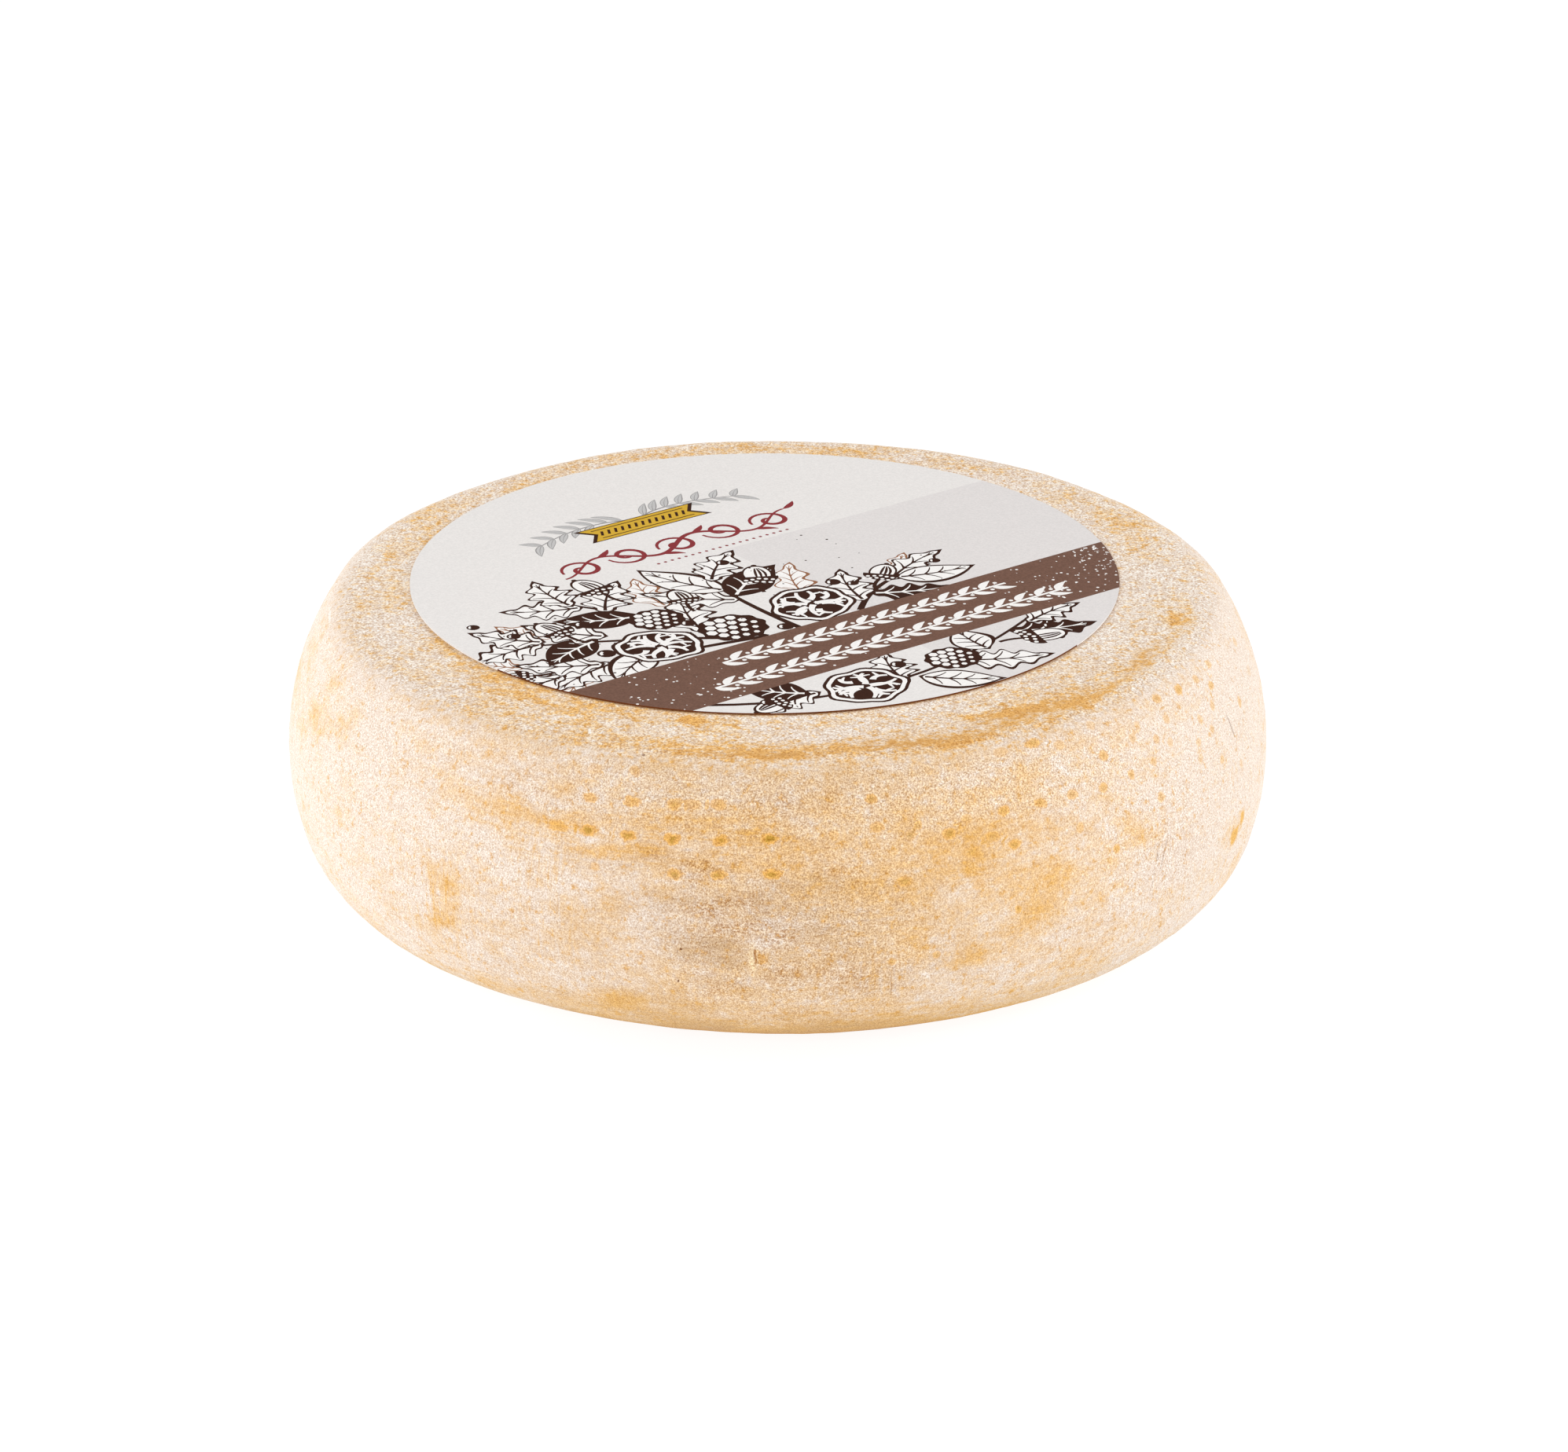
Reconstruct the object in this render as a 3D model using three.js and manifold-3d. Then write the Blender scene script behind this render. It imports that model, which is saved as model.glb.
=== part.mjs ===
// A small wheel of truffle cheese, aged in a pale powdery rind, with a round paper label lying on
// its upper face. Millimetres, +Z up. The origin is the middle of the underside, and the front of
// the wheel, where the rind is most marked, faces -Y.

import * as THREE from "three";
import { mergeVertices } from "three/addons/utils/BufferGeometryUtils.js";
import Module from "manifold-3d";

// The wheel's section: a flat underside, a round heel, a bulging side and a small shoulder
const wheelRadius = 104; // at the belly, the widest ring
const wheelHeight = 61;
const bellyHeight = 28.5;
const sideArcRadius = 54;
const shoulderRadius = 7; // from the side to the upper face
const heelRadius = 19; // from the underside to the side

// How finely the section and the rings are followed
const stepsAround = 132;
const heelSteps = 5;
const sideSteps = 12;
const shoulderSteps = 4;
const edgeRings = 3; // on the upper face, outside the flat seat of the label

// Slow waves round the wheel, left by the cheesecloth and by slumping on the shelf. Two of them
// drift round as they climb from the underside to the upper face.
const waves = [
  { count: 3, size: 0.25, phase: 3.6, drift: 0 },
  { count: 7, size: 0.2, phase: 4.6, drift: Math.PI },
  { count: 8, size: 0.2, phase: 0.5, drift: Math.PI },
];

// A low lip along the rubbed edge of the upper face, on the right of the front
const lipHeight = 0.35;
const lipRadius = 88;
const lipWidth = 2.2;
const lipAngle = THREE.MathUtils.degToRad(58); // from the front, towards +X
const lipSpread = THREE.MathUtils.degToRad(26);

// A slit low on the front, with the flake of rind that it lifted on its right
const slitAngle = THREE.MathUtils.degToRad(-2.4);
const slitHeight = 24.8; // of its middle, above the underside
const slitLength = 3.4;
const slitWidth = 0.4;
const slitDepth = 1.2;
const flakeWidth = 2.4;
const flakeLength = 4.2;
const flakeRise = 0.5;
const flakeDrop = 0.3; // the flake's middle lies a little lower than the slit's
const flakeMeridians = 12;
const flakeParallels = 6;

// The label, a disc of thick paper laid on the flat of the upper face, a little off centre
const labelRadius = 75;
const labelThickness = 0.3;
const labelLift = 0.1; // clear of the rind under it
const labelX = -2.8;
const labelY = 6.1;
const labelSteps = 120;
const seatRadius = 83; // the upper face is flat out to here
const ringSlack = 1; // a point this close to the middle, or to the seat's rim, counts as on it

const rindMaterial = new THREE.MeshStandardMaterial({ color: 0xe8cda9, roughness: 0.9, metalness: 0 });
const labelMaterial = new THREE.MeshStandardMaterial({ color: 0xebe7e4, roughness: 0.6, metalness: 0 });

const wasm = await Module();
wasm.setup();

function solidFrom(geometry) {
  const bare = geometry.clone();
  bare.deleteAttribute("normal");
  bare.deleteAttribute("uv");
  const merged = mergeVertices(bare);
  return new wasm.Manifold(
    new wasm.Mesh({
      numProp: 3,
      vertProperties: merged.attributes.position.array,
      triVerts: new Uint32Array(merged.index.array),
    }),
  );
}

function geometryFrom(solid) {
  const mesh = solid.getMesh();
  const geometry = new THREE.BufferGeometry();
  geometry.setAttribute("position", new THREE.BufferAttribute(mesh.vertProperties, 3));
  geometry.setIndex(new THREE.BufferAttribute(mesh.triVerts, 1));
  geometry.computeVertexNormals();
  return geometry;
}

// Points along an arc of the section, without its first one, which ends the stretch before it
function arcPoints(centre, radius, startAngle, endAngle, steps) {
  const points = [];
  for (let i = 1; i <= steps; i++) {
    const angle = THREE.MathUtils.lerp(startAngle, endAngle, i / steps);
    points.push(new THREE.Vector2(centre.x + radius * Math.cos(angle), centre.y + radius * Math.sin(angle)));
  }
  return points;
}

// Radius and height of the section, from the middle of the underside to that of the upper face.
// Each arc runs into the next without a corner.
function wheelSection() {
  const sideCentre = new THREE.Vector2(wheelRadius - sideArcRadius, bellyHeight);
  const heelReach = sideArcRadius - heelRadius;
  const heelFall = bellyHeight - heelRadius;
  const heelCentre = new THREE.Vector2(
    sideCentre.x + Math.sqrt(heelReach ** 2 - heelFall ** 2),
    heelRadius,
  );
  const shoulderReach = sideArcRadius - shoulderRadius;
  const shoulderRise = wheelHeight - shoulderRadius - bellyHeight;
  const shoulderCentre = new THREE.Vector2(
    sideCentre.x + Math.sqrt(shoulderReach ** 2 - shoulderRise ** 2),
    wheelHeight - shoulderRadius,
  );
  const heelEnd = -Math.asin(heelFall / heelReach);
  const shoulderStart = Math.asin(shoulderRise / shoulderReach);

  const section = [new THREE.Vector2(0, 0), new THREE.Vector2(heelCentre.x, 0)];
  section.push(...arcPoints(heelCentre, heelRadius, -Math.PI / 2, heelEnd, heelSteps));
  section.push(...arcPoints(sideCentre, sideArcRadius, heelEnd, shoulderStart, sideSteps));
  section.push(...arcPoints(shoulderCentre, shoulderRadius, shoulderStart, Math.PI / 2, shoulderSteps));
  for (let ring = 1; ring <= edgeRings; ring++) {
    const radius = THREE.MathUtils.lerp(shoulderCentre.x, seatRadius, ring / edgeRings);
    section.push(new THREE.Vector2(radius, wheelHeight));
  }
  section.push(new THREE.Vector2(0, wheelHeight));
  return section;
}

// How far the rind stands out from a true round, at an angle from the front and a height
function waveAt(angle, height) {
  let out = 0;
  for (const { count, size, phase, drift } of waves) {
    out += size * Math.cos(count * angle + phase + (drift * height) / wheelHeight);
  }
  return out;
}

function lipAt(angle, radius) {
  const across = (radius - lipRadius) / lipWidth;
  const along = (angle - lipAngle) / lipSpread;
  return lipHeight * Math.exp(-across * across - along * along);
}

function turnedWheel() {
  const wheel = new THREE.LatheGeometry(wheelSection(), stepsAround);
  wheel.rotateX(Math.PI / 2);
  const position = wheel.attributes.position;
  const point = new THREE.Vector3();
  for (let i = 0; i < position.count; i++) {
    point.fromBufferAttribute(position, i);
    const radius = Math.hypot(point.x, point.y);
    const onSeat = point.z > bellyHeight && radius < seatRadius + ringSlack;
    if (radius > ringSlack && !onSeat) {
      const angle = Math.atan2(point.x, -point.y);
      const stretch = 1 + waveAt(angle, point.z) / radius;
      const lift = point.z > bellyHeight ? lipAt(angle, radius) : 0;
      position.setXYZ(i, point.x * stretch, point.y * stretch, point.z + lift);
    }
  }
  return wheel;
}

// Moves a shape that is made at the origin, facing -Y, out to the side of the wheel
function setOnSide(geometry, angle, height) {
  const lean = Math.asin((height - bellyHeight) / sideArcRadius);
  const reach = wheelRadius - sideArcRadius + sideArcRadius * Math.cos(lean) + waveAt(angle, height);
  geometry.rotateX(-lean);
  geometry.translate(0, -reach, height);
  geometry.rotateZ(angle);
  return geometry;
}

function cheeseWheel() {
  const slit = setOnSide(new THREE.BoxGeometry(slitWidth, 2 * slitDepth, slitLength), slitAngle, slitHeight);
  const flake = new THREE.SphereGeometry(1, flakeMeridians, flakeParallels);
  flake.scale(flakeWidth / 2, flakeRise, flakeLength / 2);
  const flakeTurn = (slitWidth + flakeWidth) / 2 / wheelRadius;
  setOnSide(flake, slitAngle + flakeTurn, slitHeight - flakeDrop);
  return geometryFrom(solidFrom(turnedWheel()).add(solidFrom(flake)).subtract(solidFrom(slit)));
}

const wheel = new THREE.Mesh(cheeseWheel(), rindMaterial);
wheel.name = "cheese_wheel";

const labelDisc = new THREE.CylinderGeometry(labelRadius, labelRadius, labelThickness, labelSteps);
labelDisc.rotateX(Math.PI / 2);
const label = new THREE.Mesh(labelDisc, labelMaterial);
label.name = "paper_label";
label.position.set(labelX, labelY, wheelHeight + labelLift + labelThickness / 2);

const cheese = new THREE.Group();
cheese.add(wheel, label);

export default cheese;
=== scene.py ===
import math

import bmesh
import bpy
import numpy as np
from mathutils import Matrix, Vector, noise
from mathutils.geometry import delaunay_2d_cdt


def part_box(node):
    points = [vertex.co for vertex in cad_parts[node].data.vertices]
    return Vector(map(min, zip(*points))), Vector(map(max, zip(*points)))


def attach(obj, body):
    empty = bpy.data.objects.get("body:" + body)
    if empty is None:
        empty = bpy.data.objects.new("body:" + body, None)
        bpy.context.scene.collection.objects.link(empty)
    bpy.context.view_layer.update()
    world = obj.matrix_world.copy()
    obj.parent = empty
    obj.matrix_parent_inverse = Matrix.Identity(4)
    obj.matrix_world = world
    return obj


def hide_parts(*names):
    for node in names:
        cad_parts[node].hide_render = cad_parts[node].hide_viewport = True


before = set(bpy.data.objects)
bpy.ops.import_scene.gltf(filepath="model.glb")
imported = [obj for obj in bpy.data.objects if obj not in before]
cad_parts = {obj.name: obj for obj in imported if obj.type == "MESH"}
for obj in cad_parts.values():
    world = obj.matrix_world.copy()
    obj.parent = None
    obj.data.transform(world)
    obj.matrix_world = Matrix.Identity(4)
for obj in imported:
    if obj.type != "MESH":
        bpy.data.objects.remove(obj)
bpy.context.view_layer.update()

MM = 0.001  # sizes below are in millimetres, and Blender works in metres

# The wheel. Curd pressed in a perforated round mould, salted, and aged on a board until its side
# sagged outwards. It has a flat underside, a round heel, a bulging side and a small shoulder up
# to the flat face that carries the label. The rind is the dried skin of the same paste.
belly_radius = 104.0
belly_height = 28.5
wheel_height = 61.0
side_arc = 54.0
shoulder_arc = 7.0
heel_arc = 19.0
rind_inset = 0.15  # keeps the finest lumps inside the wheel's stated size
seat_radius = 66.0  # the rind is hidden under the label from here inwards

side_centre = belly_radius - side_arc
heel_lean = -math.asin((belly_height - heel_arc) / (side_arc - heel_arc))
shoulder_rise = wheel_height - shoulder_arc - belly_height
shoulder_lean = math.asin(shoulder_rise / (side_arc - shoulder_arc))
heel_centre = side_centre + (side_arc - heel_arc) * math.cos(heel_lean)
shoulder_centre = side_centre + (side_arc - shoulder_arc) * math.cos(shoulder_lean)


def arc(centre_radius, centre_height, radius, leans):
    """Points of the section on an arc, one for each lean above the horizontal."""
    return [
        (centre_radius + radius * math.cos(lean), centre_height + radius * math.sin(lean))
        for lean in leans
    ]


# The section's points, from the underside up to under the label. They lie closer together at the
# height of the slit low on the front.
slit_angle, slit_height, slit_length = -2.4, 24.8, 3.4
crack_angle, crack_top, crack_foot = 12.5, 21.5, 13.5
underside_rings = (20, 40, 60, 74, 80, 83)
seat_rings = (50, 30, 12)
fine_leans = np.arcsin((slit_height + np.arange(-3.2, 3.3, 0.32) - belly_height) / side_arc)
side_leans = np.linspace(heel_lean, shoulder_lean, 52)
side_leans = side_leans[
    (side_leans < fine_leans[0] - 0.005) | (side_leans > fine_leans[-1] + 0.005)
]
side_leans = np.sort(np.concatenate([side_leans, fine_leans]))
section = [(radius, 0.0) for radius in underside_rings]
section += arc(heel_centre, heel_arc, heel_arc, np.linspace(-math.pi / 2, heel_lean, 23)[:-1])
section += arc(side_centre, belly_height, side_arc, side_leans)
section += arc(
    shoulder_centre, wheel_height - shoulder_arc, shoulder_arc,
    np.linspace(shoulder_lean, math.pi / 2, 13)[1:],
)
section += [(radius, wheel_height) for radius in np.linspace(shoulder_centre, seat_radius, 25)[1:]]
section += [(radius, wheel_height) for radius in seat_rings]
section = np.array(section)

# Columns of the mesh round the wheel, closer together at the slit and at the hairline crack.
even_columns = np.linspace(-180, 180, 601)[:-1]
slit_columns = slit_angle + np.degrees(np.arange(-1.4, 3.4, 0.14) / belly_radius)
crack_columns = crack_angle + np.degrees(np.arange(-0.6, 0.61, 0.12) / belly_radius)
for close in (slit_columns, crack_columns):
    even_columns = even_columns[(even_columns < close[0] - 0.1) | (even_columns > close[-1] + 0.1)]
columns = np.sort(np.concatenate([even_columns, slit_columns, crack_columns]))

angle, ring = np.meshgrid(np.radians(columns), np.arange(len(section)))
radius, height = section[ring, 0], section[ring, 1]
step = np.gradient(section, axis=0)
outward = np.stack([step[:, 1], -step[:, 0]], 1)
outward /= np.linalg.norm(outward, axis=1)[:, None]
run = np.hypot(*np.diff(section, axis=0).T)
climb_of_ring = np.concatenate([[0], np.cumsum(run)])  # along the section, in mm
climb = climb_of_ring[ring]
shoulder_top = climb_of_ring[np.argmax(section[:, 1] >= wheel_height - 1e-6)]


def on_side(degrees, at_height):
    """A place on the side, as an angle from the front and a distance along the section."""
    outer = (section[:, 0] > heel_centre - 1) & (np.arange(len(section)) > len(underside_rings))
    return math.radians(degrees), float(np.interp(at_height, section[outer, 1], climb_of_ring[outer]))


def on_face(degrees, at_radius):
    """A place on the upper face, outside the label."""
    return math.radians(degrees), shoulder_top + shoulder_centre - at_radius


# The edges of all wear wander by a few millimetres, as mould and rubbing leave no clean outline.
noise.seed_set(2)  # without it noise_vector would follow the clock
slow_wander, slow_length = 3.0, 15.0
fine_wander, fine_length = 1.3, 5.0
round_x = (radius * np.sin(angle)).ravel()
round_y = (-radius * np.cos(angle)).ravel()
wander = np.array([
    slow_wander * noise.noise_vector(Vector(spot) / slow_length)
    + fine_wander * noise.noise_vector(Vector(spot) / fine_length)
    for spot in zip(round_x, round_y, height.ravel())
])
worn_across = wander[:, 0].reshape(angle.shape)
worn_along = 0.7 * wander[:, 1].reshape(angle.shape)


def rim_gap(turn):
    """How far round the rim each point of the rind lies from a turn, in mm."""
    return ((angle - turn + math.pi) % (2 * math.pi) - math.pi) * radius


def patch(place, half_width, half_height, edge=1.0, ragged=1.0):
    """1 in the middle of a patch and 0 outside it. A larger edge makes it squarer and sharper, and
    ragged says how far its outline wanders."""
    across = (rim_gap(place[0]) + ragged * worn_across) / half_width
    along = (climb - place[1] + ragged * worn_along) / half_height
    return np.exp(-(np.abs(across) ** (2 * edge)) - np.abs(along) ** (2 * edge))


# Slow waves round the wheel, left by the cheesecloth and by slumping on the shelf.
waves = np.zeros_like(angle)
for count, size, phase, drift in ((3, 0.25, 3.6, 0.0), (7, 0.2, 4.6, math.pi), (8, 0.2, 0.5, math.pi)):
    waves += size * np.cos(count * angle + phase + drift * height / wheel_height)
waves[radius < seat_radius + 8] = 0


def sum_of(place_on, patches, start=0.0):
    """A start with patches added, each by its place's angle from the front and its height, or its
    radius on the face, its half width and half height, its amount, and its edge if not 1."""
    total = np.full_like(angle, start)
    for degrees, at, half_width, half_height, amount, *edge in patches:
        total += amount * patch(place_on(degrees, at), half_width, half_height, *edge)
    return total


def most_of(place_on, patches, start=0.0):
    """Like sum_of, but the strongest patch counts at each point of the rind, or the start."""
    most = np.full_like(angle, start)
    for degrees, at, half_width, half_height, amount, *edge in patches:
        most = np.maximum(most, amount * patch(place_on(degrees, at), half_width, half_height, *edge))
    return most


# The wear of the rind, from 0 where the white mould is thickest, through tan, to 1 where it is
# rubbed off and the ochre skin shows. Broad zones and bands first, then single patches.
wear = sum_of(on_side, (
    (4, 36, 62, 52, 0.30), (6, 44, 44, 9, 0.18), (-8, 49, 30, 6, 0.04), (-3, 29, 26, 7, -0.08),
    (30, 31, 22, 10, 0.10), (38, 45, 40, 8, -0.08), (54, 32, 12, 14, -0.10), (50, 22, 22, 18, -0.08),
    (10, 5, 50, 5.5, 0.36), (5, 1, 40, 7, 1.15, 1.6), (12, 43, 26, 5, 0.10), (32, 38, 20, 9, 0.14),
    (2, 20, 22, 12, 0.12), (14, 8.5, 26, 5, 0.13), (30, 56, 5, 3, 0.24, 1.2),
    (-25, 6, 60, 3.4, 0.24), (-23, 59, 8, 2.2, 0.14), (-3, 60, 16, 1.6, 0.12),
    (-65, 57, 30, 4, 0.08), (30, 56, 8, 3, 0.10), (-18, 9, 13, 4, 0.24), (-52, 3, 34, 5, 0.20),
    (62, 3, 34, 5, 0.12), (72, 52, 24, 22, -0.16, 1.2), (-70, 58, 34, 5, -0.20),
    (-82, 26, 26, 18, -0.06, 1.2), (-64, 49, 17, 6.5, 0.17, 1.2), (128, 34, 36, 20, 0.26, 1.2),
    (-132, 40, 44, 14, 0.28, 1.2), (178, 20, 40, 12, 0.24, 1.2), (-158, 4, 60, 5, 0.36),
    (135, 4, 60, 5, 0.36),
), 0.17)
wear = sum_of(on_face, (
    (4, 84, 44, 6, 0.06), (4, 79, 26, 4.5, -0.30), (-42, 77, 26, 6, 0.44), (-20, 79, 8, 5, -0.16),
    (-64, 74, 22, 4, 0.22), (30, 75, 30, 4, -0.16), (26, 87.5, 34, 3.2, 0.30),
    (-8, 87, 22, 3.2, 0.28), (38, 81.5, 14, 3.6, 0.28), (64, 85.5, 28, 2.6, 0.32),
    (-14, 78, 14, 9, 0.16), (28, 77.6, 18, 3, 0.24), (40, 81, 5, 2.6, 0.28),
    (-66, 77.6, 26, 2.6, -0.16), (-38, 82, 12, 5, 0.14), (-145, 83, 46, 7, 0.16, 1.4),
    (-22, 86, 26, 6, 0.08), (30, 78, 14, 4, 0.16), (57, 82, 22, 6, 0.10), (-110, 84, 34, 5, 0.2),
    (176, 85, 46, 4.5, 0.30), (118, 84, 22, 5, 0.22),
), wear)
wear = sum_of(on_side, (
    (-28, 48.6, 16, 1.8, 0.30), (-26, 54, 4, 1.2, 0.30, 1.2), (-10, 51, 12, 2.6, 0.10),
    (-18, 44.4, 11, 1.4, 0.40), (-19.5, 44.6, 3.6, 1.1, 0.30, 1.2), (-8.5, 43, 4, 1.2, 0.20, 1.2),
    (-41.5, 18, 3, 5, 0.18, 1.6), (-70, 46, 5, 3, 0.30, 1.2), (-61, 49, 4, 3, 0.28, 1.2),
    (-69, 55, 4, 2, 0.26, 1.2), (-45, 54, 5, 2, 0.14, 1.2), (-33, 8, 8, 1.8, 0.22),
    (-17.8, 11.2, 4.5, 2.4, 0.44, 1.2), (-24, 28, 2.6, 7, 0.12), (-26, 36, 5, 2.4, 0.22),
    (30.5, 31, 7, 6.5, 0.32, 1.4), (33, 35, 5, 2.4, 0.22, 1.2), (15, 25, 4, 5, 0.26, 1.2),
    (22, 20.7, 5, 1.8, 0.34, 1.2), (44, 37.5, 3.2, 2.4, 0.34, 1.2), (43, 41, 1.8, 1.8, 0.24, 1.2),
    (17, 42.5, 12, 5, 0.06), (21, 46, 5, 2.6, 0.20), (64.6, 23.8, 1.6, 1.3, 1.3, 1.6),
    (64, 25.5, 6, 3.4, 0.34), (66.4, 26.4, 1.3, 1.5, 1, 1.6), (1, 12, 10, 3, 0.14),
    (-17, 46.5, 9, 3.4, -0.16), (-32, 31, 8, 10, -0.10, 1.2), (-55, 53, 6, 3, -0.26, 1.2),
    (-44, 53, 5, 1.6, -0.16, 1.2), (-35, 38, 8, 5, -0.10, 1.2), (-12, 35, 9, 4, -0.12),
    (13, 19, 8, 3, -0.18, 1.2), (-6, 19.5, 8, 2.2, -0.24, 1.2), (21, 14, 12, 4, -0.16, 1.2),
    (20, 36, 5, 3, -0.14, 1.2), (33, 47, 5, 2, -0.10, 1.2), (50, 56, 8, 2.6, -0.14, 1.2),
    (-118, 33, 9, 8, 0.22, 2), (142, 44, 12, 3, 0.26, 1.2), (112, 24, 6, 7, 0.26, 2),
    (-165, 36, 10, 5, 0.22, 2), (-148, 52, 20, 2, 0.26), (165, 50, 16, 2, 0.26),
    (152, 30, 9, 9, -0.2, 1.2), (-140, 22, 10, 5, -0.2, 1.2),
), wear)
wear = sum_of(on_face, (
    (-13.6, 74, 1.9, 1.4, 0.9, 1.4), (-12, 75, 6, 3, 0.20), (34, 80.5, 3.6, 1.6, 0.30),
    (29, 79, 2.4, 1.2, 0.36, 1.2), (20, 87.5, 9, 1.6, 0.24), (43, 85.5, 4, 2, 0.20),
    (52, 86.5, 5, 1.5, 0.30, 1.2), (-2, 89, 10, 1.3, 0.24), (63, 83.6, 5, 1.2, 0.28, 1.2),
    (78, 84, 5, 1.6, 0.40, 1.2), (81, 87, 7, 1.6, 0.30, 1.2), (-84, 87.5, 5, 1.2, 0.34, 1.2),
    (-30, 79, 8, 2.2, 0.10), (-128, 80, 7, 3.4, -0.45, 2), (160, 84, 7, 2, -0.3, 1.2),
), wear)
wear += 0.38 * patch(on_side(-39.9, 26.2), 4.8, 6.2, 3.5, 0.5)  # where a strip of cloth pulled off
wear += 0.4 * np.exp(-((height / 2.0) ** 2)) * (radius > heel_centre - 4)  # rubbed where it rests

# Grey-brown dust from the shelf, in smudges along the front and thinly over the upper face, and the same
# grey-brown as painted shade low on the left side and along the front of the foot.
dust_and_painted_shade = sum_of(on_side, (
    # Of these, the patch at 0 degrees and 4 mm up along the foot and the one at -38 degrees and 16 mm up on
    # the left are painted shade.
    (-2, 20, 46, 16, 0.42, 1.2), (-2, 40, 44, 14, 0.20, 1.2), (0, 4, 44, 6.5, 0.90, 1.2),
    (-38, 16, 34, 16, 0.18, 1.2), (-20, 11, 26, 6, 0.20, 1.2), (-8, 26.5, 8, 4, 0.80, 1.6),
    (-7, 35, 11, 3.4, 0.55), (2, 30, 9, 4, 0.35), (2, 39, 14, 2, 0.25), (0, 57, 46, 4, 0.14, 1.2),
    (-20, 42, 12, 1.6, 0.3), (80, 14, 12, 4, 0.6, 1.2), (145, 36, 26, 3, 0.45),
    (-150, 30, 24, 3, 0.4),
))
dust_and_painted_shade = sum_of(on_face, (
    (4, 88, 30, 1.6, 0.25), (22, 86.5, 12, 1.3, 0.2), (0, 82, 88, 14, 0.14, 2),
    (-64, 82, 50, 12, 0.08, 2), (70, 80, 50, 8, 0.06, 2), (180, 84, 90, 8, 0.25, 2),
), dust_and_painted_shade)

# Painted shade along the front of the foot, darker and browner where the wheel rests.
foot_painted_shade = patch(on_side(0, 1.2), 44.0, 5.4, 1.4)

# Upright scratches where the wheel was held and turned.
scratched = sum_of(on_side, (
    (-41, 24, 12, 12, 1, 1.2), (-26, 32, 8, 16, 0.8, 1.2), (10, 20, 9, 7, 0.7, 1.2),
    (66, 44, 10, 9, 0.5, 1.2), (48, 28, 18, 14, 0.8, 1.2), (126, 26, 16, 14, 0.9, 1.2),
    (-156, 28, 16, 14, 0.8, 1.2),
))

# Level lines where the wheel was rubbed along the shelf.
lined = most_of(on_side, (
    (-20, 46, 36, 7, 1, 1.6), (8, 40, 40, 7, 0.6, 1.6), (0, 30, 34, 8, 0.6, 1.6),
    (20, 12, 60, 7, 0.6, 1.6), (-40, 10, 30, 6, 0.5, 1.6), (56, 40, 26, 12, 0.5, 1.6),
    (-130, 46, 50, 8, 0.9, 1.6), (150, 46, 50, 8, 0.9, 1.6),
))
lined = most_of(on_face, ((20, 87.5, 60, 3, 1, 1.6),), lined)

# How deep the grain of the rind is, which also sets how strongly its painted shade and highlights show. It
# is deepest where the mould's wall pressed it, at the front and under the shoulder, and coarser on the
# upper face.
grained = most_of(on_side, (
    (10, 54, 90, 12, 1, 1.6), (2, 30, 40, 30, 1, 1.6), (46, 36, 30, 24, 0.8, 1.6),
    (-150, 50, 90, 16, 1, 1.6), (150, 36, 60, 24, 0.9, 1.6),
), 0.66)
gritty = np.clip((height - 59.5) / 1.5, 0, 1)
grained += 0.38 * gritty

# Places where the skin is torn into crumbs with brown pits between them.
crumbly = most_of(on_side, (
    (-6, 35, 7, 1.8, 1), (-5, 30.6, 7, 1.2, 0.9), (0.4, 28.4, 2.4, 1.8, 1), (7, 20.5, 8.5, 4.2, 0.7),
    (0.6, 20.4, 3, 1.8, 1), (-5.5, 17.3, 4, 1.8, 0.8), (-9, 43, 4.5, 1.8, 1),
    (-9.8, 40, 1.8, 1.8, 0.9), (-13.4, 44, 3, 1.2, 0.8), (6, 42, 3, 1.6, 0.8), (0, 54, 5, 2, 0.6),
    (32, 44, 16, 5, 0.20), (-30, 53, 9, 3, 0.45), (50, 30, 14, 10, 0.30), (38, 20, 16, 6, 0.26),
    (4, 9, 16, 3, 0.5), (140, 38, 14, 5, 0.9), (-150, 24, 12, 4, 0.9), (175, 14, 14, 4, 0.7),
))
crumbly = most_of(on_face, (
    (17, 87.5, 10, 1.8, 0.7), (36, 82.5, 12, 2.4, 0.6), (45, 84.5, 7, 2.6, 0.3),
    (-3, 88.5, 12, 1.4, 0.6), (62, 84, 9, 2, 0.4), (20, 85, 30, 3, 0.4),
), crumbly)

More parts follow.
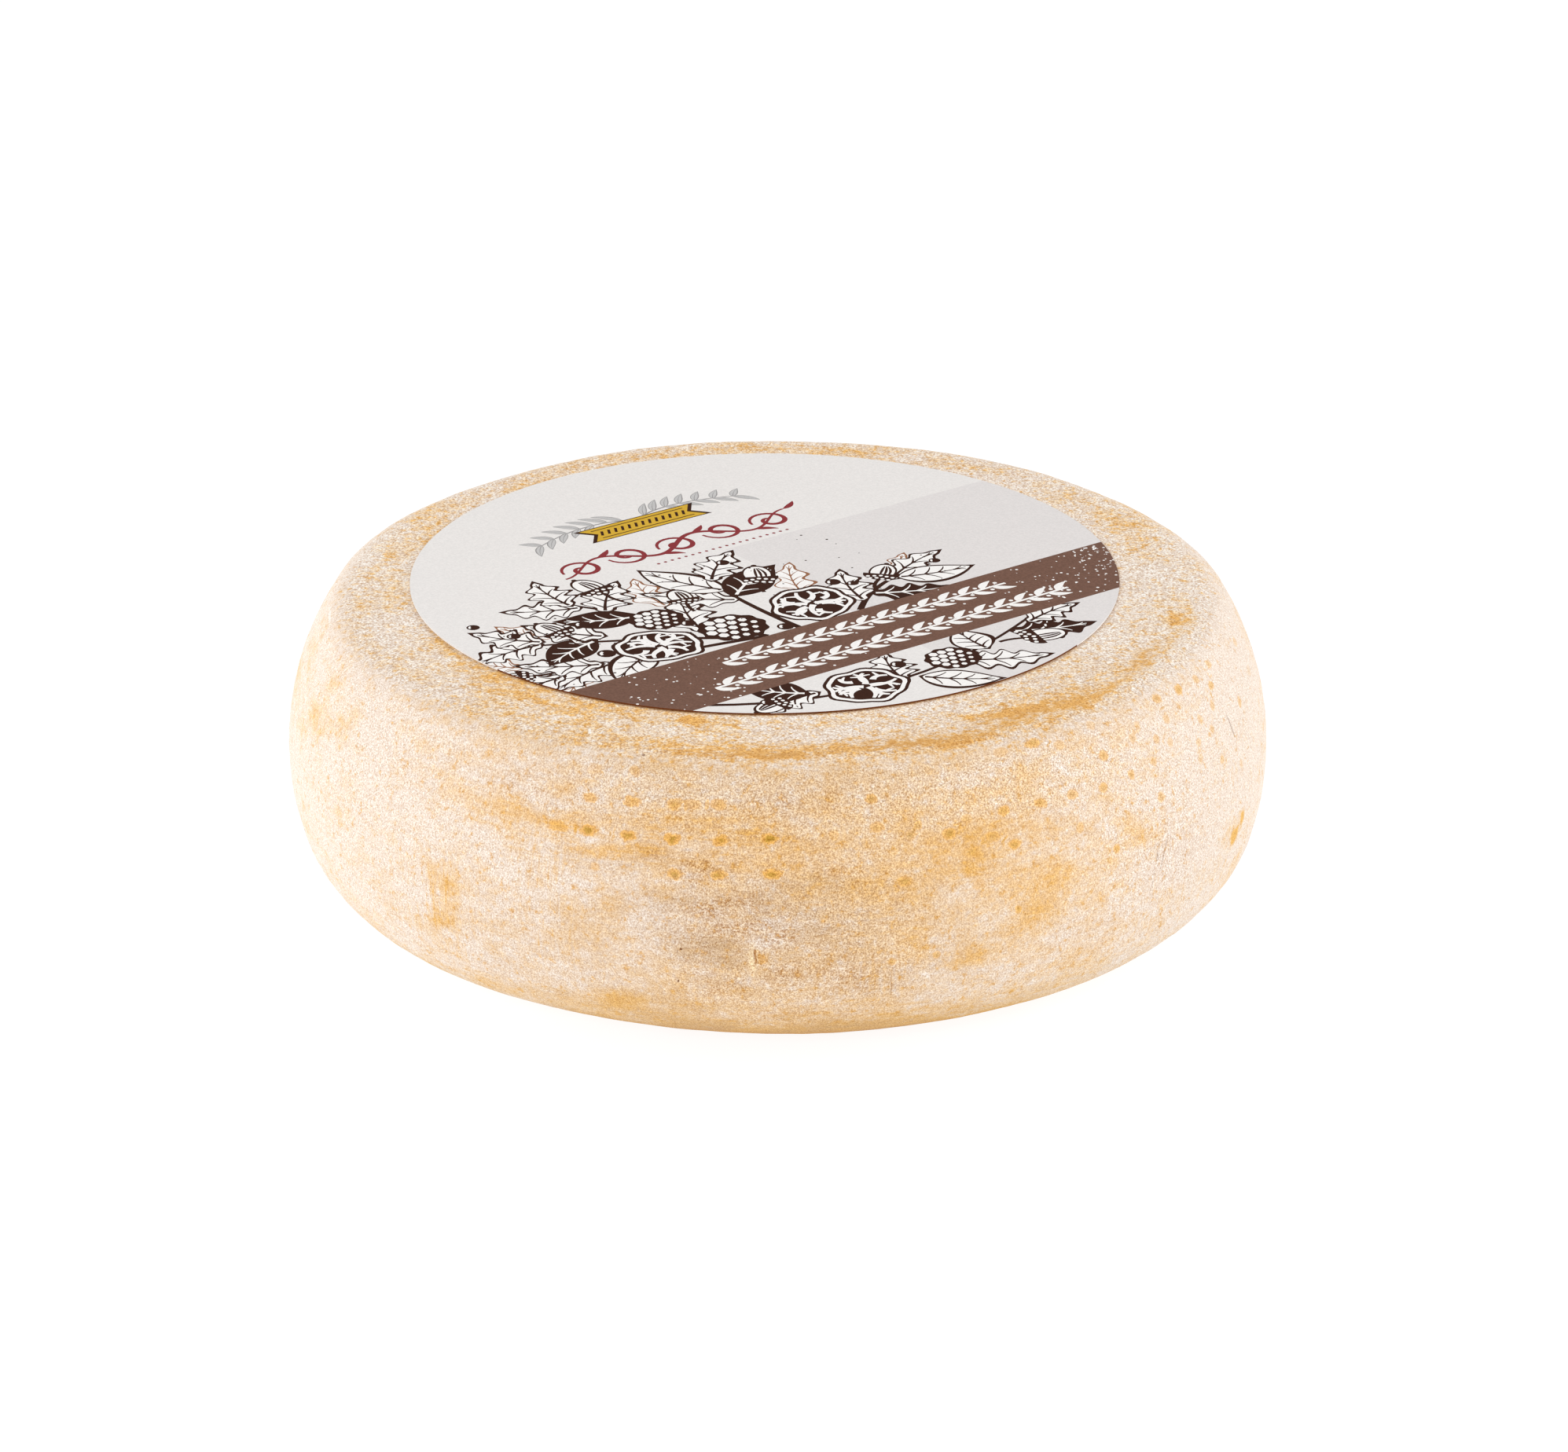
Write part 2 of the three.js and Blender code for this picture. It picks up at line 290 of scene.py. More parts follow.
# Marks of the mould's drain holes: rows of small buttons of rind, rubbed bare on top, about nine
# millimetres apart. The rows rise and fall a little, because the wheel slumped after moulding, and
# some marks are smeared along the rim. Each place on the rind is measured from its nearest hole.
front_holes = (  # degrees from the front, height, how strongly it shows, width, dark core
    (-21.9, 58, 0.4, 1.2, 0), (-17, 58.5, 0.6, 1, 0.2), (-10.5, 58.6, 0.35, 1.8, 0),
    (-21.8, 53, 0.8, 1.3, 0.2), (-16.8, 53.4, 0.85, 1.4, 0.2), (-11.8, 53.6, 0.8, 1.1, 0.4),
    (-9.6, 53.8, 0.6, 1.2, 0.2), (-6.7, 54.1, 0.7, 1.2, 0.2),
    (-25.3, 47, 0.75, 1.6, 0.2), (-21.5, 47.2, 0.95, 1.5, 0.9), (-16.8, 47.3, 0.95, 1.3, 0.9),
    (-11.7, 47.6, 1, 1.3, 1), (-6.3, 47.8, 0.95, 1.2, 0.7), (-1, 48.2, 1, 1.4, 1),
    (-20.3, 40.6, 0.45, 0.8, 0), (-11.2, 41, 0.8, 1.3, 0.7), (-6.4, 41.4, 0.9, 1.2, 0.8),
    (-0.6, 41.7, 0.95, 1.5, 0.8),
    (6.2, 48.7, 0.5, 0.8, 0.1), (6.2, 42.2, 0.35, 1.1, 0.2), (10.7, 54.6, 0.8, 0.9, 0.4),
    (11.1, 49.5, 0.7, 1.1, 0.3), (15.8, 49.3, 0.7, 0.6, 0.4), (14.8, 47.7, 0.4, 0.8, 0.5),
    (19.4, 47.1, 0.8, 1.1, 0.6), (21.6, 49.3, 0.5, 0.9, 0.2), (26.1, 49.6, 0.85, 1, 0.4),
    (31, 49.5, 0.8, 1.1, 0.4), (35.4, 49.5, 0.7, 1, 0.3), (39.9, 49, 0.75, 0.9, 0.3),
    (44.5, 49.3, 0.75, 0.8, 0.5), (24.4, 45.3, 0.7, 1.2, 0.3), (27, 43.1, 0.9, 1.1, 0.5),
    (21.8, 43.1, 0.45, 1.5, 0.3), (13.9, 39.1, 0.7, 1.4, 0.5), (35.6, 43, 0.55, 0.8, 0.1),
    (40.4, 36.5, 0.8, 0.8, 0.5), (27, 29.8, 0.8, 0.5, 0.6), (12.4, 22.4, 0.65, 0.6, 0.5),
    (17.4, 22.7, 0.65, 0.5, 0.4), (22.3, 36.5, 0.45, 1, 0.1), (32.1, 59.6, 0.85, 1.5, 0.4),
    (35.6, 58.4, 0.5, 1, 0.1), (41.2, 54.4, 0.8, 1, 0.4), (27.6, 59.4, 0.5, 1.1, 0.1),
    (41.2, 59.6, 0.45, 0.9, 0.1), (46.5, 55.1, 0.5, 0.8, 0.2), (48, 56.7, 0.45, 0.8, 0.1),
    (48.6, 49.8, 0.55, 0.8, 0.2), (50.3, 53.1, 0.55, 0.8, 0.2), (48.4, 42.9, 0.65, 0.9, 0.3),
    (53.4, 55.5, 0.5, 0.8, 0.1), (52.5, 51.4, 0.45, 0.8, 0.1), (53.6, 59.2, 0.7, 1, 0.3),
    (58.2, 58.6, 0.85, 1, 0.5), (62.8, 58.1, 0.6, 0.9, 0.2), (67.7, 58.4, 0.6, 0.9, 0.2),
    (59.8, 51.8, 0.5, 0.8, 0.1), (65.5, 55.4, 0.75, 0.9, 0.3), (63.7, 52.6, 0.55, 0.8, 0.2),
    (57.9, 48.5, 0.5, 0.8, 0.1), (61.6, 48.9, 0.55, 0.8, 0.2), (57.2, 45.5, 0.45, 0.8, 0.1),
    (61.9, 42.5, 0.55, 0.8, 0.2), (71.4, 48.4, 0.6, 0.9, 0.3), (67, 38, 0.4, 0.8, 0.1),
)
rng = np.random.default_rng(7)
holes = list(front_holes)
for row_height in (37.0, 43.5, 50.0, 56.0):  # the rest of the mould's holes, round the back
    for column in range(72):
        degrees = 5.0 * column + rng.normal(0, 0.2)
        degrees -= 360 if degrees > 180 else 0
        rise = 1.2 * math.sin(math.radians(3 * degrees - 15)) + rng.normal(0, 0.35)
        show = rng.uniform(0.0, 0.95) * (0.6 + 0.4 * math.sin(math.radians(2 * degrees + 40)))
        if abs(degrees) > 76:
            holes.append((degrees, row_height + rise, show, rng.uniform(0.8, 1.4), rng.uniform(0, 0.6)))
hole_across = np.full_like(angle, 3.0)
hole_along = np.full_like(angle, 3.0)
hole_show = np.zeros_like(angle)
hole_core = np.zeros_like(angle)
for degrees, at_height, show, width, core in holes:
    turn, along = on_side(degrees, at_height)
    size = 0.60 + 0.50 * min(width, 1.0)
    across = rim_gap(turn) / (1.15 * max(width, 0.8) * size)
    up_along = (climb - along) / size
    reach = np.hypot(across, up_along)
    near = (reach < np.hypot(hole_across, hole_along)) & (reach < 3.6)
    hole_across[near] = across[near]
    hole_along[near] = up_along[near]
    hole_show[near] = show * (reach[near] < 2.0)
    hole_core[near] = core * (reach[near] < 2.0)
nub = hole_show * np.exp(-((hole_across / 1.1) ** 2) - (hole_along / 0.9) ** 2)

# Single nicks and specks. Each has its place, half its width and length, its lean and its tone,
# from -1 for a white chip of the powder to 1 for a dark scratch.
nick_across = np.full_like(angle, 9.0)
nick_along = np.full_like(angle, 9.0)
nick_tone = np.zeros_like(angle)
for spot, half_width, half_length, lean, tone in (
    (on_side(66.4, 46.5), 0.34, 3.0, -10.0, 0.45),
    (on_side(46.4, 29.0), 0.26, 5.4, 13.0, 0.36),
    (on_side(48.0, 31.5), 0.24, 4.4, 22.0, 0.30),
    (on_side(-10.5, 25.6), 0.32, 0.32, 0.0, 1.0),
    (on_side(-10.9, 18.2), 0.28, 0.32, 0.0, 0.9),
    (on_side(-16.6, 60.7), 0.40, 0.40, 0.0, 0.8),
    (on_face(-24.4, 86.0), 0.50, 2.4, 24.0, -1.0),
    (on_face(-25.6, 85.4), 0.40, 1.6, -30.0, -0.9),
    (on_side(-83.0, 59.0), 4.6, 0.45, 0.0, -0.8),
    (on_side(140.0, 30.0), 0.30, 6.0, 8.0, 0.8),
    (on_side(-128.0, 36.0), 0.30, 5.0, -14.0, 0.7),
):
    tilt = math.radians(lean)
    across_gap, along_gap = rim_gap(spot[0]), climb - spot[1]
    across_line = across_gap * math.cos(tilt) - along_gap * math.sin(tilt)
    along_line = across_gap * math.sin(tilt) + along_gap * math.cos(tilt)
    near = (np.abs(across_line) < half_width + 1.3) & (np.abs(along_line) < half_length + 1.3)
    nick_across[near] = across_line[near] / half_width
    nick_along[near] = along_line[near] / half_length
    nick_tone[near] = tone

# A thin brown line along the edge of the label, strongest at the front and on the right: partly a stain and
# partly painted shade of the gap under the label's edge.
label_low, label_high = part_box("paper_label")
label_centre = (label_low + label_high) / 2
label_radius = (label_high.x - label_low.x) / 2 / MM
from_label_x = radius * np.sin(angle) - label_centre.x / MM
from_label_y = -radius * np.cos(angle) - label_centre.y / MM
label_gap = np.hypot(from_label_x, from_label_y) - label_radius
label_turn = np.degrees(np.arctan2(from_label_x, -from_label_y))
label_stain_and_shade = 0.25 + 0.75 * np.exp(-(((label_turn - 5) / 55) ** 4))
label_stain_and_shade[height < wheel_height - 1] = 0

# The slit low on the front, the flake of rind lifted beside it, and a hairline crack.
aside = (angle - math.radians(slit_angle)) * belly_radius
above = height - slit_height
slit = np.exp(-((aside + 0.14 * np.sin(1.9 * above)) / 0.29) ** 2)
slit *= np.exp(-((above / (slit_length / 2)) ** 8))
flake_share = np.clip((aside - 0.15) / 2.4, 0, 1)
flake = np.where((aside > 0.1) & (aside < 2.6), (1 - flake_share) ** 0.6, 0)
flake *= np.exp(-(((above + 0.3 + 0.5 * flake_share) / (2.2 - 0.7 * flake_share)) ** 6))
on_the_side = (radius > belly_radius - 8) & (height > 5)
slit *= on_the_side
flake *= on_the_side
torn_skin = np.exp(-(((aside - 1.1) / 0.82) ** 2 + ((above + 0.7) / (1.8 - 0.4 * aside)) ** 2) ** 1.6)
torn_skin = np.where(aside > 0.3, torn_skin, 0) * on_the_side
slit_lips = np.exp(-(((aside + 0.80 - 0.05 * above ** 2) / 0.50) ** 2))
slit_lips *= np.exp(-(((above + 0.5) / 2.9) ** 4))
slit_lips += np.exp(-(((aside - 0.34) / 0.15) ** 2)) * np.exp(-((above / 1.7) ** 6))
slit_lips *= on_the_side
crack_bend = 0.12 * np.sin(0.9 * height) + 0.05 * np.sin(2.7 * height)
crack_off = (angle - math.radians(crack_angle)) * belly_radius - crack_bend
crack = np.exp(-((crack_off / 0.13) ** 2)) * on_the_side
crack *= np.exp(-(((height - (crack_top + crack_foot) / 2) / ((crack_top - crack_foot) / 2)) ** 8))

# Lumps of the curd under the rind, a lip along the rubbed edge, and the marks, as real relief.
lump_rise, nub_rise, flake_rise, dried_lip_rise, rubbed_lip_rise = 0.10, 0.14, 0.36, 0.10, 0.28
wear_depth, slit_depth, crack_depth = 0.05, 0.20, 0.12
lump = np.array([
    noise.noise(Vector((x / 9.0, y / 9.0, z / 6.0)))
    + 0.6 * noise.noise(Vector((x / 3.4, y / 3.4, z / 2.6)))
    for x, y, z in zip(round_x, round_y, height.ravel())
]).reshape(angle.shape)
out = lump_rise * lump + nub_rise * nub - wear_depth * np.clip(wear, 0, 1) - slit_depth * slit
out += flake_rise * flake + dried_lip_rise * slit_lips - crack_depth * crack
lip = ((radius - 88) / 2.2) ** 2 + ((angle - math.radians(58)) / math.radians(26)) ** 2
lip = rubbed_lip_rise * np.exp(-lip)
flat = (height > wheel_height - 1e-6) | (height < 1e-6)
out = np.where(flat, np.clip(0.05 * lump, -0.06, 0.08) * (height > 1), out)
hidden = radius < seat_radius + 1
out = np.where(hidden, 0, out)
lip = np.where(flat & (height > 1), lip, 0)

push = np.where(flat, 0, -rind_inset) + out
around = radius + np.where(hidden, 0, waves) + outward[ring, 0] * push
level = np.clip(height + outward[ring, 1] * push + lip, 0, None)
points = np.stack([around * np.sin(angle), -around * np.cos(angle), level], -1).reshape(-1, 3) * MM

rings, turns = angle.shape
faces = []
for i in range(rings - 1):
    for j in range(turns):
        k = (j + 1) % turns
        faces.append((i * turns + j, i * turns + k, (i + 1) * turns + k, (i + 1) * turns + j))
foot, crown = len(points), len(points) + 1
points = np.vstack([points, [(0, 0, 0), (0, 0, wheel_height * MM)]])
for j in range(turns):
    k = (j + 1) % turns
    faces.append((foot, k, j))
    faces.append((crown, (rings - 1) * turns + j, (rings - 1) * turns + k))
wheel_mesh = bpy.data.meshes.new("rind_of_wheel")
wheel_mesh.from_pydata(points.tolist(), [], faces)
wheel_mesh.shade_smooth()
marks = {
    "wear": wear, "dust_and_painted_shade": dust_and_painted_shade, "foot_painted_shade": foot_painted_shade, "scratched": scratched, "lined": lined,
    "grained": grained, "gritty": gritty, "crumbly": crumbly, "hole_across": hole_across,
    "hole_along": hole_along, "hole_show": hole_show, "hole_core": hole_core,
    "nick_across": nick_across, "nick_along": nick_along, "nick_tone": nick_tone,
    "slit": np.maximum(slit, crack * 0.8), "torn_skin": torn_skin, "slit_lips": slit_lips,
    "label_gap": label_gap, "label_stain_and_shade": label_stain_and_shade,
}
for name, values in marks.items():
    layer = wheel_mesh.attributes.new(name, "FLOAT", "POINT")
    layer.data.foreach_set("value", np.append(values.ravel(), [0, 0]).astype(np.float32))

# Places on the rind as if it were unrolled, in mm, drawn out along the rim so that patterns
# which use them run level round the wheel.
rim_stretch = 3.0
level_places = np.stack([
    np.sin(angle) * belly_radius / rim_stretch, -np.cos(angle) * belly_radius / rim_stretch, climb], -1)
level_places = np.vstack([level_places.reshape(-1, 3), np.zeros((2, 3))])
layer = wheel_mesh.attributes.new("level_place", "FLOAT_VECTOR", "POINT")
layer.data.foreach_set("vector", level_places.ravel().astype(np.float32))
wheel = bpy.data.objects.new("wheel_of_cheese", wheel_mesh)
bpy.context.scene.collection.objects.link(wheel)


def linear(hex_colour):
    """An sRGB hex colour as linear red, green, blue and alpha."""
    parts = [int(hex_colour[i:i + 2], 16) / 255 for i in (1, 3, 5)]
    return [c / 12.92 if c <= 0.04045 else ((c + 0.055) / 1.055) ** 2.4 for c in parts] + [1.0]


def add(tree, kind, links=(), output=None, **settings):
    """Adds a node with its settings, links or sets its inputs, and gives one of its outputs."""
    node = tree.nodes.new("ShaderNode" + kind)
    for name, value in settings.items():
        setattr(node, name, value)
    for name, value in dict(links).items():
        if isinstance(value, bpy.types.NodeSocket):
            tree.links.new(value, node.inputs[name])
        else:
            node.inputs[name].default_value = value
    if output:
        return node.outputs[output]
    return next((socket for socket in node.outputs if socket.enabled), None)


def new_material(name):
    """An empty material and its node tree."""
    material = bpy.data.materials.new(name)
    material.use_nodes = True
    material.node_tree.nodes.clear()
    return material, material.node_tree


# Natural rind: dried curd under a thin coat of white mould, brushed and turned by hand. It is
# matt all over, whitish where the powder lies, tan between and ochre where it is rubbed bare,
# with a grain of pebbles under half a millimetre.
rind, tree = new_material("natural_cheese_rind")
place = add(tree, "TexCoord", output="Object")
level_place = add(tree, "Attribute", output="Vector", attribute_name="level_place")
seen = {
    name: add(tree, "Attribute", output="Fac", attribute_name=name) for name in marks
}

# Patterns, each at its real size in mm: the pebbles of the skin and the grit of the upper face,
# specks and clouds of mould, streaks along the rim, lines of rubbing and upright scratches.
pebbles, grit, specks, clouds = (
    add(tree, "TexNoise", {"Vector": place, "Scale": 1 / (size * MM), "Detail": detail, "Roughness": rough})
    for size, detail, rough in ((0.31, 1, 0.6), (0.44, 1, 0.7), (1.5, 2, 0.7), (12.0, 4, 0.85))
)
streaks = add(tree, "TexNoise", {
    "Vector": level_place, "Scale": 1 / 11.0, "Detail": 4.0, "Roughness": 0.85})
along_rim = add(tree, "Mapping", {
    "Vector": level_place, "Scale": (rim_stretch / 10.0, rim_stretch / 10.0, 1 / 0.9)})
rub_lines = add(tree, "TexNoise", {
    "Vector": along_rim, "Scale": 1.0, "Detail": 2.0, "Roughness": 0.6})
upright = add(tree, "Mapping", {
    "Vector": level_place, "Scale": (rim_stretch / 0.7, rim_stretch / 0.7, 1 / 9.0)})
scratches = add(tree, "TexNoise", {"Vector": upright, "Scale": 1.0, "Detail": 1.0})

# How far each place is from the middle of its drain hole and of its nick, in ragged rounds.
spread = [
    add(tree, "Math", {0: seen[name], 1: seen[name]}, operation="MULTIPLY")
    for name in ("hole_across", "hole_along", "nick_across", "nick_along")
]
from_hole = add(tree, "Math", {0: spread[1], 1: 1.1, 2: spread[0]}, operation="MULTIPLY_ADD")
from_hole = add(tree, "Math", {0: from_hole, 1: 0.5}, operation="POWER")
from_hole = add(tree, "Math", {0: specks, 1: 2.0, 2: from_hole}, operation="MULTIPLY_ADD")
from_nick = add(tree, "Math", {0: spread[2], 1: spread[3]}, operation="ADD")
from_nick = add(tree, "Math", {0: grit, 1: 1.6, 2: from_nick}, operation="MULTIPLY_ADD")
pale_tone = add(tree, "Math", {0: seen["nick_tone"], 1: -1.0}, operation="MULTIPLY")

# How bare the rind is: the drawn wear, broken up by clouds and streaks, then raised or lowered
# where each pattern passes from one value to another, and a little powder round the drain holes.
eased = {"interpolation_type": "SMOOTHSTEP"}  # patterns come in without a hard edge
bare = add(tree, "Math", {0: streaks, 1: 1.35, 2: seen["wear"]}, operation="MULTIPLY_ADD")
bare = add(tree, "Math", {0: clouds, 1: 1.0, 2: bare}, operation="MULTIPLY_ADD")
bare = add(tree, "Math", {0: bare, 1: 1.165}, operation="SUBTRACT")
for pattern, start, full, mask, amount in (
    (specks, 0.56, 0.72, None, 0.17),
    (specks, 0.44, 0.30, None, -0.16),
    (scratches, 0.58, 0.68, seen["scratched"], 0.26),
    (scratches, 0.42, 0.32, seen["scratched"], -0.22),
    (specks, 0.50, 0.64, seen["gritty"], 0.16),
    (specks, 0.50, 0.36, seen["gritty"], -0.10),
    (rub_lines, 0.52, 0.72, seen["lined"], 0.24),
    (rub_lines, 0.44, 0.28, seen["lined"], -0.18),
    (from_hole, 3.4, 2.4, seen["hole_show"], -0.09),
):
    shows = add(tree, "MapRange", {
        "Value": pattern, "From Min": start, "From Max": full, "To Max": amount}, **eased)
    if mask:
        shows = add(tree, "Math", {0: shows, 1: mask}, operation="MULTIPLY")
    bare = add(tree, "Math", {0: bare, 1: shows}, operation="ADD")

# The colours, laid over each other. Each shows where its pattern passes from one value to
# another, with the least and most that it covers, and only as far as its mask lets it.
crumbs = add(tree, "Math", {0: specks, 1: 0.7, 2: grit}, operation="MULTIPLY_ADD")
torn = add(tree, "Math", {0: specks, 1: 2.4, 2: seen["torn_skin"]}, operation="MULTIPLY_ADD")
ragged_gap = add(tree, "Math", {0: specks, 1: 1.6, 2: seen["label_gap"]}, operation="MULTIPLY_ADD")
coloured = linear("#EBCEA8")  # the tan skin under thin powder
for pattern, start, full, least, most, mask, colour in (
    (bare, 0.60, 0.04, 0, 1, None, "#ECDDCE"),  # thick white powder
    (bare, 0.42, 1.05, 0, 1, None, "#E8B868"),  # bare skin
    (bare, 0.42, 1.05, 0, 1, seen["gritty"], "#E8B162"),  # the same on the upper face, browner
    (streaks, 0.40, 0.60, 0.28, 0.60, seen["dust_and_painted_shade"], "#BFA184"),  # smudges of dust, and painted shade low on the left and at the foot
    (rub_lines, 0.40, 0.28, 0, 0.33, seen["dust_and_painted_shade"], "#C89A5E"),  # brown dashes in them
    (None, 0, 0, 0, 0.74, seen["foot_painted_shade"], "#C08240"),  # painted shade at the foot, where it rests
    (crumbs, 0.85, 1.00, 0, 0.81, seen["crumbly"], "#B0763A"),  # pits between crumbs
    (from_hole, 2.30, 1.75, 0, 0.80, seen["hole_show"], "#EDB650"),  # the drain holes' marks
    (from_hole, 1.75, 1.15, 0, 0.74, seen["hole_core"], "#B4881E"),  # their olive cores
    (torn, 1.35, 2.0, 0, 0.80, None, "#DBA75A"),  # bare paste on the lifted flake
    (None, 0, 0, 0, 0.75, seen["slit_lips"], "#F6E0B8"),  # the dried lips of the slit
    (seen["slit"], 0.25, 0.90, 0, 0.85, None, "#B27A3A"),  # the slit and the crack: painted shade in their recess, in the brown of the paste
    (ragged_gap, 1.7, 0.9, 0, 0.8, seen["label_stain_and_shade"], "#A5743F"),  # the line along the label, partly stain and partly painted shade
    (from_nick, 2.0, 1.2, 0, 0.9, seen["nick_tone"], "#7C4A26"),  # dark scratches
    (from_nick, 2.0, 1.2, 0, 0.9, pale_tone, "#F4EDE4"),  # white chips
):
    share = most
    if pattern:
        share = add(tree, "MapRange", {
            "Value": pattern, "From Min": start, "From Max": full, "To Min": least, "To Max": most},
            **eased)
    if mask:
        share = add(tree, "Math", {0: share, 1: mask}, operation="MULTIPLY", use_clamp=True)
    coloured = add(tree, "Mix", {0: share, 6: coloured, 7: linear(colour)}, data_type="RGBA")

# The grain: pebbles, coarser on the upper face. Its pits are brown and its tops pale, partly the grain's
# own colour and partly painted shade in the pits and painted highlights on the tops, so it tints the skin
# from brown to cream.
grains = add(tree, "Mix", {0: seen["gritty"], 2: pebbles, 3: grit})
grains = add(tree, "Mix", {0: seen["grained"], 2: 0.5, 3: grains}, clamp_factor=False)
height_of_grain = add(tree, "MapRange", {"Value": grains, "From Min": 0.29, "From Max": 0.71})
grain_tint_and_painted_light = add(tree, "Mix", {
    0: height_of_grain, 6: (0.70, 0.56, 0.44, 1.0), 7: (1.30, 1.45, 1.60, 1.0)}, data_type="RGBA")
coloured = add(tree, "Mix", {
    0: 1.0, 6: coloured, 7: grain_tint_and_painted_light}, data_type="RGBA", blend_type="MULTIPLY", clamp_result=True)
relief = add(tree, "Math", {0: specks, 1: 2.0, 2: grains}, operation="MULTIPLY_ADD")
grain_relief = add(tree, "Bump", {"Height": relief, "Strength": 1.0, "Distance": 0.16 * MM})
matt = add(tree, "MapRange", {
    "Value": bare, "From Min": 0.3, "From Max": 1.0, "To Min": 0.92, "To Max": 0.72})
skin = add(tree, "BsdfPrincipled", {
    "Base Color": coloured,
    "Roughness": matt,
    "IOR": 1.45,
    "Diffuse Roughness": 0.7,
    "Specular IOR Level": 0.12,
    "Normal": grain_relief,
})
add(tree, "OutputMaterial", {"Surface": skin})
wheel_mesh.materials.append(rind)
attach(wheel, "root")
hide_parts("cheese_wheel")

# The label. A disc of coated paper, die-cut and printed flat, and pressed onto the rind, which
# holds it by its own moisture. It is cut here along its print, so that each ink is a face.
label_sides = 240
slant = np.exp(1j * math.radians(36.8))  # the direction in which the print runs
band_near, band_far = -50.6, -27.9  # the brown band's two edges, from the middle of the label
field_far = 16.9
print_jobs = []  # (ink, outline), each printed over the ones before it


def stamp(ink, outline):
    """Prints a filled outline. Its points are complex numbers in mm, real along the band."""
    outline = slant * np.asarray(outline)
    doubled_area = np.sum((np.conj(outline) * np.roll(outline, -1)).imag)
    print_jobs.append((ink, outline if doubled_area > 0 else outline[::-1]))


def line(ink, spine, widths):
    """Prints a pen line along a spine of points, with its width at each."""
    spine = np.asarray(spine)
    ahead = np.gradient(spine)
    side = 1j * ahead / np.abs(ahead) * np.asarray(widths) / 2
    stamp(ink, np.concatenate([spine + side, (spine - side)[::-1]]))


def curve(start, bend, end, steps=10):
    """Points from start to end, pulled towards bend."""
    t = np.linspace(0, 1, steps + 1)
    return (1 - t) ** 2 * start + 2 * t * (1 - t) * bend + t ** 2 * end


def leaf(root, tip, breadth, ink="brown_line", fill="white_ink", pen=0.6, lobes=0, veins=5, sway=0.12):
    """Prints a leaf: a dark outline, its blade, a midrib and veins that sweep forward."""
    length = tip - root
    spine = curve(root, root + length * (0.5 + sway * 1j), tip, 32)
    ahead = np.gradient(spine)
    normal = 1j * ahead / np.abs(ahead)
    t = np.linspace(0, 1, 33)
    half = breadth / 2 * np.sin(math.pi * t ** 0.8) ** 0.85
    if lobes:
        half = half * (0.80 + 0.26 * np.cos(2 * math.pi * lobes * t))
    half[0] = half[-1] = 0
    for swell, colour in ((pen, ink), (0.0, fill)):
        edge = half[1:-1] + swell
        ends = ahead[0] / abs(ahead[0]) * swell * 1.5, ahead[-1] / abs(ahead[-1]) * swell * 2.5
        left = spine[1:-1] + normal[1:-1] * edge
        right = spine[1:-1] - normal[1:-1] * edge * (1.0 if swell == 0 else 1.12)
        stamp(colour, np.concatenate([[root - ends[0]], right, [tip + ends[1]], left[::-1]]))
    vein_ink = "white_ink" if fill == ink else ink
    line(vein_ink, spine[1:-2], np.linspace(pen * 1.3, pen * 0.4, 30))
    for i in range(veins):
        at = 4 + int(round(i * 20 / max(1, veins - 1)))
        for flank in (-1, 1):
            start = spine[at]
            reach = 0.86 * half[min(at + 5, 30)]
            end = spine[min(at + 5, 30)] + flank * normal[min(at + 5, 30)] * reach
            pull = start + (end - start) * 0.6 - 0.14 * (end - start) * 1j * flank
            line(vein_ink, curve(start, pull, end, 4), np.linspace(pen * 0.85, pen * 0.35, 5))


def bough_leaf(root, tip, breadth, inked, lobes):
    """Prints a leaf of a bough, white or filled with ink, and bent like its stem."""
    blade_ink = "brown_line" if inked else "white_ink"
    sway = 0.1 if tip.imag > root.imag else -0.1
    leaf(root, tip, breadth, fill=blade_ink, lobes=lobes, veins=4, sway=sway)


def cut_truffle(centre, size, seed):
    """Prints a cut truffle: a bumpy dark round with a pale rim and pale winding veins."""
    draw = np.random.default_rng(seed)
    around = np.linspace(0, 2 * math.pi, 49)[:-1]
    bumps = 1 + 0.045 * np.cos(5 * around + draw.uniform(0, 6))
    bumps += 0.03 * np.cos(9 * around + draw.uniform(0, 6))
    rim = bumps * (np.cos(around) + 0.88j * np.sin(around)) * np.exp(0.6j * draw.uniform(-1, 1))
    stamp("brown_line", centre + size / 2 * rim)
    stamp("white_ink", centre + (size / 2 - 0.8) * rim)
    stamp("brown_line", centre + (size / 2 - 1.8) * rim)
    for i in range(13):
        heading = 2 * math.pi * i / 13 + draw.uniform(-0.18, 0.18)
        outer = (size / 2 - 2.4) * (math.cos(heading) + 0.88j * math.sin(heading))
        inner = outer * (0.12, 0.5, 0.3)[i % 3] * np.exp(1j * draw.uniform(-0.4, 0.4))
        bend = (outer + inner) / 2 + size * draw.choice([-1, 1]) * 0.09 * np.exp(1j * (heading + 1.57))
        vein = centre + curve(outer, bend, inner, 8)
        line("white_ink", vein, np.linspace(0.7, 1.5, 9) * size / 20)
        fork = vein[3] + size * 0.12 * np.exp(1j * (heading + (1.2 if i % 2 else -1.2)))
        branch = curve(vein[3], (vein[3] + fork) / 2 + 0.3j, fork, 4)
        line("white_ink", branch, np.linspace(0.9, 0.4, 5) * size / 20)


